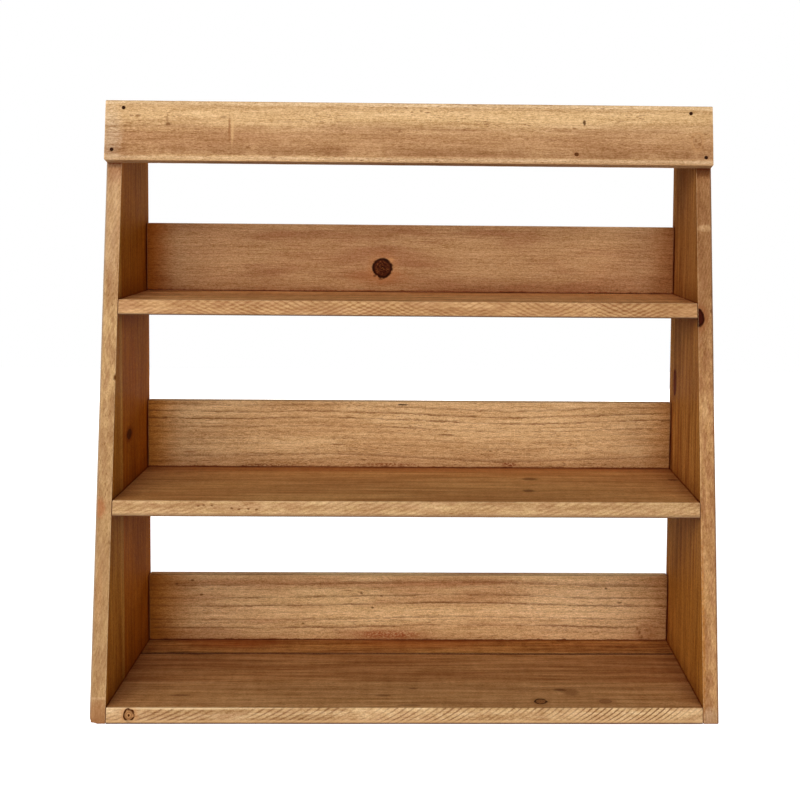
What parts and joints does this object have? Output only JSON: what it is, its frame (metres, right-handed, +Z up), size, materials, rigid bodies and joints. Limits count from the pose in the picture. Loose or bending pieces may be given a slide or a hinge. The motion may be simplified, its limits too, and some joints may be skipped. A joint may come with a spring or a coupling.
{
  "type": "merchandiser display rack",
  "caption": "Wooden counter display rack: tapered side panels, stepped shelves with low back rails, open rear windows and a header board nailed across the raked front.",
  "frame": {"origin": "middle of the footprint, on the floor", "axes": "+X to the customer's right along the width, +Y to the back, +Z up"},
  "size_m": [0.6, 0.2498, 0.5937],
  "materials": {
    "left_panel_fir": "planed, oiled, satin",
    "right_panel_fir": "planed, oiled, satin",
    "bottom_shelf_front_board_fir": "planed, oiled, satin",
    "bottom_shelf_rear_board_fir": "planed, oiled, satin",
    "middle_shelf_fir": "planed, oiled, satin",
    "top_shelf_fir": "planed, oiled, satin",
    "top_board_fir": "planed, oiled, satin",
    "bottom_back_rail_fir": "planed, oiled, satin",
    "middle_back_rail_fir": "planed, oiled, satin",
    "top_back_rail_fir": "planed, oiled, satin",
    "header_board_fir": "planed, oiled, satin",
    "nail_steel": "dull, darkened"
  },
  "bodies": {
    "root": {"bottom_back_rail": "bottom_back_rail_fir", "bottom_back_rail_nail_left_lower": "nail_steel", "bottom_back_rail_nail_left_upper": "nail_steel", "bottom_back_rail_nail_right_lower": "nail_steel", "bottom_back_rail_nail_right_upper": "nail_steel", "bottom_shelf_front_board": "bottom_shelf_front_board_fir", "bottom_shelf_front_board_nail_left_front": "nail_steel", "bottom_shelf_front_board_nail_left_rear": "nail_steel", "bottom_shelf_front_board_nail_right_front": "nail_steel", "bottom_shelf_front_board_nail_right_rear": "nail_steel", "bottom_shelf_rear_board": "bottom_shelf_rear_board_fir", "bottom_shelf_rear_board_nail_left_front": "nail_steel", "bottom_shelf_rear_board_nail_left_rear": "nail_steel", "bottom_shelf_rear_board_nail_right_front": "nail_steel", "bottom_shelf_rear_board_nail_right_rear": "nail_steel", "header_board": "header_board_fir", "header_nail_left_lower": "nail_steel", "header_nail_left_upper": "nail_steel", "header_nail_right_lower": "nail_steel", "header_nail_right_upper": "nail_steel", "left_panel": "left_panel_fir", "middle_back_rail": "middle_back_rail_fir", "middle_back_rail_nail_left_lower": "nail_steel", "middle_back_rail_nail_left_upper": "nail_steel", "middle_back_rail_nail_right_lower": "nail_steel", "middle_back_rail_nail_right_upper": "nail_steel", "middle_shelf": "middle_shelf_fir", "middle_shelf_nail_left_front": "nail_steel", "middle_shelf_nail_left_rear": "nail_steel", "middle_shelf_nail_right_front": "nail_steel", "middle_shelf_nail_right_rear": "nail_steel", "right_panel": "right_panel_fir", "top_back_rail": "top_back_rail_fir", "top_back_rail_nail_left_lower": "nail_steel", "top_back_rail_nail_left_upper": "nail_steel", "top_back_rail_nail_right_lower": "nail_steel", "top_back_rail_nail_right_upper": "nail_steel", "top_board": "top_board_fir", "top_board_nail_left_front": "nail_steel", "top_board_nail_left_rear": "nail_steel", "top_board_nail_right_front": "nail_steel", "top_board_nail_right_rear": "nail_steel", "top_shelf": "top_shelf_fir", "top_shelf_nail_left_front": "nail_steel", "top_shelf_nail_left_rear": "nail_steel", "top_shelf_nail_right_front": "nail_steel", "top_shelf_nail_right_rear": "nail_steel"}
  },
  "joints": []
}
